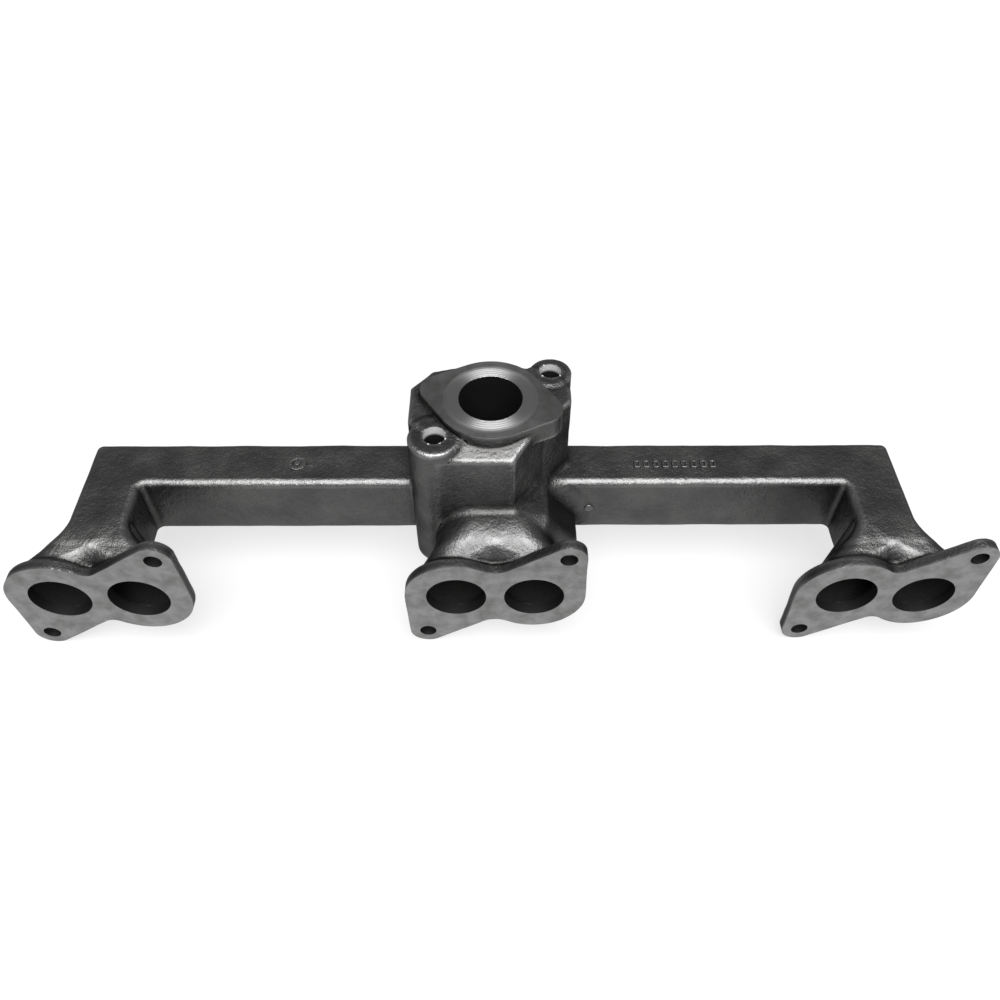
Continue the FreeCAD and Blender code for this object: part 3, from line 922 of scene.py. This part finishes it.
def build_casting():
    """Every node of the casting but its marks, cut from the one field."""
    regions = {**collector_regions(), **flange_regions(), **riser_regions()}
    for node, (region, low, high) in regions.items():
        def field(x, y, z, region=region):
            return np.maximum(casting(x, y, z), region(x, y, z))
        vertices, faces = dual_contour(field, low, high)
        normals, flat, at_vertex = corner_normals(casting, vertices, faces)
        # Per-vertex convexity: it lightens rubbed edges and paints shade into the hollows.
        wear_and_hollow_shade = convexity(vertices, at_vertex)
        kinds = face_kinds(vertices[faces].mean(1), flat)
        add_piece(node + "_cast", node, vertices, faces, normals, wear_and_hollow_shade, kinds)


def ring_mark(u, v, w, half):
    """A round line with a dot in its middle."""
    radius = np.hypot(u, v)
    line = np.abs(radius - half[0] + RING_HALF_LINE) - RING_HALF_LINE
    return round_intersection(np.minimum(line, radius - DOT_R), w - half[2], MARK_EDGE_R)


def strip_mark(u, v, w, half):
    """A row of small hollow blocks."""
    pitch = 2 * half[0] / STRIP_BLOCKS
    along = (u + half[0]) % pitch - pitch / 2
    outlines = []
    for margin_u, margin_v, corner_r in (BLOCK_OUTLINE, BLOCK_HOLLOW):
        outlines.append(round_rect(along, v, pitch / 2 - margin_u, half[1] - margin_v, corner_r))
    return round_intersection(np.maximum(outlines[0], -outlines[1]), w - half[2], MARK_EDGE_R)


def pip_mark(u, v, w, half):
    """A round pip that stands out forwards."""
    return round_intersection(np.hypot(u, w) - half[0], -v - half[1], PIP_EDGE_R)


def build_marks():
    """The raised casting marks, kept plain."""
    marks = {"left_mark_pad": ring_mark, "right_mark_strip": strip_mark, "front_mark_pip": pip_mark}
    for node, mark in marks.items():
        low, high = node_box(node)
        middle, half = (low + high) / 2, (high - low) / 2

        def field(x, y, z):
            u, v, w = x - middle[0], y - middle[1], z - middle[2]
            box = np.maximum(np.abs(u) - half[0], np.abs(v) - half[1])
            return np.maximum(mark(u, v, w, half), np.maximum(box, np.abs(w) - half[2]))
        vertices, faces = dual_contour(field, low - MARK_ROOM, high + MARK_ROOM, MARK_STEP)
        normals, _, _ = corner_normals(field, vertices, faces)
        wear_and_hollow_shade = np.full(len(vertices), MARK_WEAR)
        kinds = np.full(len(faces), CAST)
        add_piece(node + "_cast", node, vertices, faces, normals, wear_and_hollow_shade, kinds)


# ---------------------------------------------------------------- camera, lights and floor

# Places and sizes here are in metres, and the lens and its sensor in millimetres.
CAMERA_AT = (-0.0006, -0.286, 0.4276)
CAMERA_TILT = math.radians(40.1)
CAMERA_YAW = math.radians(-1.37)
CAMERA_ROLL = math.radians(0.9)
LENS_MM = 31.6
SENSOR_MM = 36.0
SHIFT_X = -0.0074
CLIP_START = 0.01
FLOOR_SIZE = 12.0
FLOOR_GAP = 0.0005


def look_along(thing, target):
    """Turns an object's -Z axis towards a point."""
    thing.rotation_euler = (Vector(target) - thing.location).to_track_quat("-Z", "Y").to_euler()


def add_camera():
    """The camera in front of the ports, looking down on them."""
    data = bpy.data.cameras.new("camera")
    data.lens = LENS_MM
    data.sensor_width = SENSOR_MM
    data.shift_x = SHIFT_X
    data.clip_start = CLIP_START
    camera = bpy.data.objects.new("camera", data)
    camera.location = CAMERA_AT
    aim = Euler((CAMERA_TILT, 0, CAMERA_YAW)).to_matrix() @ Euler((0, 0, CAMERA_ROLL)).to_matrix()
    camera.rotation_euler = aim.to_euler()
    bpy.context.scene.collection.objects.link(camera)
    bpy.context.scene.camera = camera


def add_sun(name, direction, spread_deg, strength):
    """A soft parallel light; direction points from the object to the light."""
    data = bpy.data.lights.new(name, "SUN")
    data.angle = math.radians(spread_deg)
    data.energy = strength
    light = bpy.data.objects.new(name, data)
    light.location = direction
    bpy.context.scene.collection.objects.link(light)
    look_along(light, (0, 0, 0))


def add_floor():
    """A pale floor just under the flanges, slightly self-lit."""
    height = -FLANGE_HIGH[2] * MM - FLOOR_GAP
    bpy.ops.mesh.primitive_plane_add(size=FLOOR_SIZE, location=(0, 0, height))
    floor = bpy.context.object
    floor.name = "floor"
    shader = Shader("floor_paper")
    shader.set(color=grey(0.15), roughness=0.9, glow=grey(1.0), glow_level=0.7)
    floor.data.materials.append(shader.material)


def add_world(level):
    """Even white light from all round."""
    world = bpy.data.worlds.new("studio")
    world.use_nodes = True
    background = world.node_tree.nodes["Background"]
    background.inputs["Color"].default_value = grey(1.0)
    background.inputs["Strength"].default_value = level
    bpy.context.scene.world = world


add_camera()
add_sun("key", direction=(0.1, -0.9, 1.9), spread_deg=60.0, strength=6.6)
add_floor()
add_world(level=0.3)
bpy.context.scene.view_settings.view_transform = "Standard"
build_casting()
build_marks()
